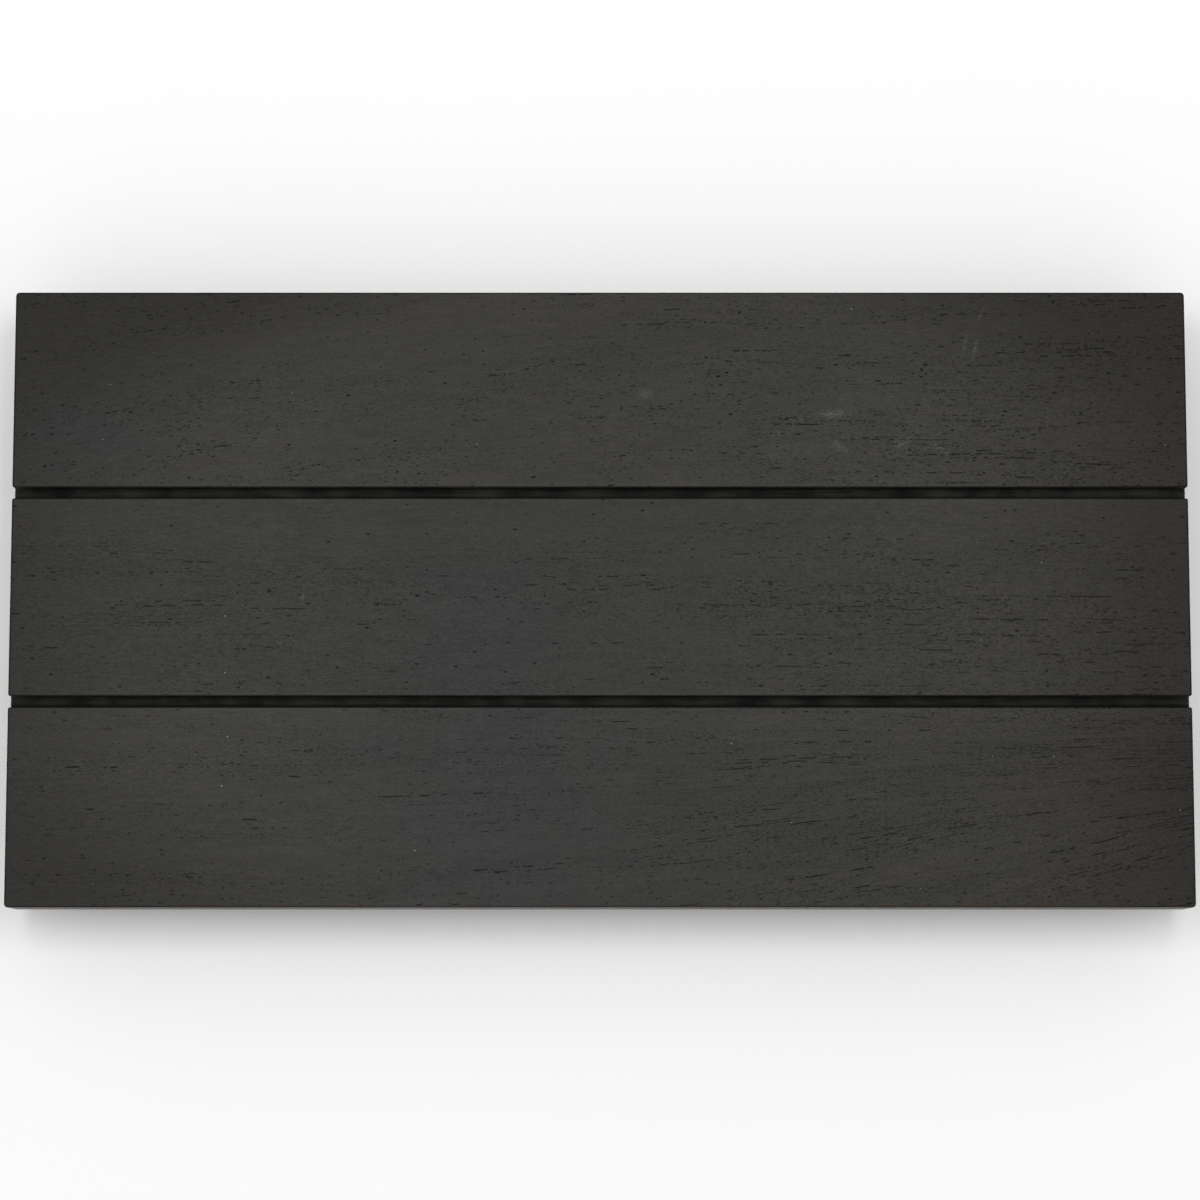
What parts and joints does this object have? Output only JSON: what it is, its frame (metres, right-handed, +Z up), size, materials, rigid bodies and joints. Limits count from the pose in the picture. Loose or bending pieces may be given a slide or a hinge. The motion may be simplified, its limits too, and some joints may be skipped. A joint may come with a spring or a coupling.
{
  "type": "slatted wooden tray",
  "caption": "Flat rectangular serving tray of dark stained planks joined by tongues and grooves with shadow gaps, raised on screwed cross battens with rubber feet.",
  "frame": {"origin": "on the surface the tray stands on, under the middle of the deck", "axes": "+X along the planks towards the picture's right, +Y towards the rear (the picture's upper edge), +Z up out of the deck"},
  "size_m": [0.3, 0.1574, 0.029],
  "materials": {
    "black_stained_wood": "open-pored hardwood, black stained, matt to satin",
    "zinc_plated_steel": "zinc plated, satin",
    "black_rubber": "moulded rubber, matt"
  },
  "bodies": {
    "root": {"plank_rear": "black_stained_wood", "plank_middle": "black_stained_wood", "plank_front": "black_stained_wood", "batten_left": "black_stained_wood", "screw_left_rear_1": "zinc_plated_steel", "screw_left_rear_2": "zinc_plated_steel", "screw_left_middle_1": "zinc_plated_steel", "screw_left_middle_2": "zinc_plated_steel", "screw_left_front_1": "zinc_plated_steel", "screw_left_front_2": "zinc_plated_steel", "foot_left_rear": "black_rubber", "foot_left_front": "black_rubber", "batten_right": "black_stained_wood", "screw_right_rear_1": "zinc_plated_steel", "screw_right_rear_2": "zinc_plated_steel", "screw_right_middle_1": "zinc_plated_steel", "screw_right_middle_2": "zinc_plated_steel", "screw_right_front_1": "zinc_plated_steel", "screw_right_front_2": "zinc_plated_steel", "foot_right_rear": "black_rubber", "foot_right_front": "black_rubber"}
  },
  "joints": []
}
